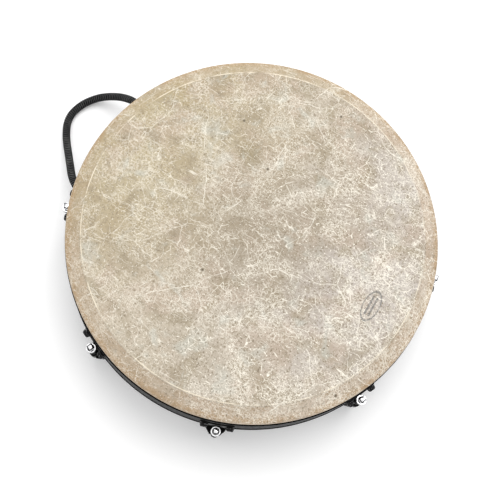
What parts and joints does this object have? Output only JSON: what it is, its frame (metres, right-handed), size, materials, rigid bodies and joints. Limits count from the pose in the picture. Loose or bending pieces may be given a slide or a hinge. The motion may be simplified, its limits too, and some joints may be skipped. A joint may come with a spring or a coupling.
{
  "type": "bodhran",
  "caption": "Key-tuned bodhran: round frame drum with a mottled film head, black tuning hoop with bolted ears and chrome rods, open back with a crossbar, and a rope handle.",
  "frame": {"origin": "centre of the shell's back edge, which the drum lies on", "axes": "+Z along the drum's axis towards the head, +Y towards the middle of the rope handle"},
  "size_m": [0.4122, 0.4875, 0.1145],
  "materials": {
    "shell_black": "satin black paint outside, plain fibre board inside",
    "skin_film": "matt mottled film",
    "hoop_metal": "dark anodised rolled channel",
    "black_metal": "gloss black powder coat",
    "black_fastener": "black oxide with worn edges",
    "steel_fastener": "zinc plated",
    "chrome": "polished",
    "bar_wood": "clear satin varnish",
    "grommet_rubber": "matt moulded",
    "rope_black": "tight ribbed braid"
  },
  "bodies": {
    "drum": {"shell": "shell_black", "head_skin": "skin_film", "bracket_bolts": "black_fastener", "bracket_washers": "steel_fastener", "bracket_nuts": "steel_fastener", "crossbar": "bar_wood", "crossbar_screws": "black_fastener", "handle_rope": "rope_black", "rope_grommet_left": "grommet_rubber", "rope_grommet_right": "grommet_rubber", "rope_knot_left": "rope_black", "rope_knot_right": "rope_black", "shell_bracket_1": "black_metal", "shell_bracket_2": "black_metal", "shell_bracket_3": "black_metal", "shell_bracket_4": "black_metal", "shell_bracket_5": "black_metal", "shell_bracket_6": "black_metal", "shell_bracket_7": "black_metal", "shell_bracket_8": "black_metal"},
    "hoop": {"tuning_hoop": "black_metal", "flesh_hoop": "hoop_metal", "head_collar": "skin_film", "ear_bolts": "black_fastener", "ear_washers": "steel_fastener", "ear_nuts": "steel_fastener", "rod_washers": "steel_fastener", "hoop_ear_1": "black_metal", "hoop_ear_2": "black_metal", "hoop_ear_3": "black_metal", "hoop_ear_4": "black_metal", "hoop_ear_5": "black_metal", "hoop_ear_6": "black_metal", "hoop_ear_7": "black_metal", "hoop_ear_8": "black_metal"},
    "rod_1": {"tension_rod_1": "chrome"},
    "rod_2": {"tension_rod_2": "chrome"},
    "rod_3": {"tension_rod_3": "chrome"},
    "rod_4": {"tension_rod_4": "chrome"},
    "rod_5": {"tension_rod_5": "chrome"},
    "rod_6": {"tension_rod_6": "chrome"},
    "rod_7": {"tension_rod_7": "chrome"},
    "rod_8": {"tension_rod_8": "chrome"}
  },
  "joints": [
    {"name": "hoop_slide", "type": "slide", "parent": "drum", "child": "hoop", "axis": [0, 0, 1], "range_m": [-0.003, 0.003], "deforming": ["head_collar"]},
    {"name": "rod_1_turn", "type": "hinge", "parent": "hoop", "child": "rod_1", "pos_m": [0.1954, 0.08094, 0.06], "axis": [0, 0, 1], "range_deg": [-1081, 1081]},
    {"name": "rod_2_turn", "type": "hinge", "parent": "hoop", "child": "rod_2", "pos_m": [0.08094, 0.1954, 0.06], "axis": [0, 0, 1], "range_deg": [-1081, 1081]},
    {"name": "rod_3_turn", "type": "hinge", "parent": "hoop", "child": "rod_3", "pos_m": [-0.08094, 0.1954, 0.06], "axis": [0, 0, 1], "range_deg": [-1081, 1081]},
    {"name": "rod_4_turn", "type": "hinge", "parent": "hoop", "child": "rod_4", "pos_m": [-0.1954, 0.08094, 0.06], "axis": [0, 0, 1], "range_deg": [-1081, 1081]},
    {"name": "rod_5_turn", "type": "hinge", "parent": "hoop", "child": "rod_5", "pos_m": [-0.1954, -0.08094, 0.06], "axis": [0, 0, 1], "range_deg": [-1081, 1081]},
    {"name": "rod_6_turn", "type": "hinge", "parent": "hoop", "child": "rod_6", "pos_m": [-0.08094, -0.1954, 0.06], "axis": [0, 0, 1], "range_deg": [-1081, 1081]},
    {"name": "rod_7_turn", "type": "hinge", "parent": "hoop", "child": "rod_7", "pos_m": [0.08094, -0.1954, 0.06], "axis": [0, 0, 1], "range_deg": [-1081, 1081]},
    {"name": "rod_8_turn", "type": "hinge", "parent": "hoop", "child": "rod_8", "pos_m": [0.1954, -0.08094, 0.06], "axis": [0, 0, 1], "range_deg": [-1081, 1081]}
  ],
  "couplings": [
    {"joint": "rod_1_turn", "follows": "hoop_slide", "rad_per_m": 6283.2},
    {"joint": "rod_2_turn", "follows": "hoop_slide", "rad_per_m": 6283.2},
    {"joint": "rod_3_turn", "follows": "hoop_slide", "rad_per_m": 6283.2},
    {"joint": "rod_4_turn", "follows": "hoop_slide", "rad_per_m": 6283.2},
    {"joint": "rod_5_turn", "follows": "hoop_slide", "rad_per_m": 6283.2},
    {"joint": "rod_6_turn", "follows": "hoop_slide", "rad_per_m": 6283.2},
    {"joint": "rod_7_turn", "follows": "hoop_slide", "rad_per_m": 6283.2},
    {"joint": "rod_8_turn", "follows": "hoop_slide", "rad_per_m": 6283.2}
  ]
}
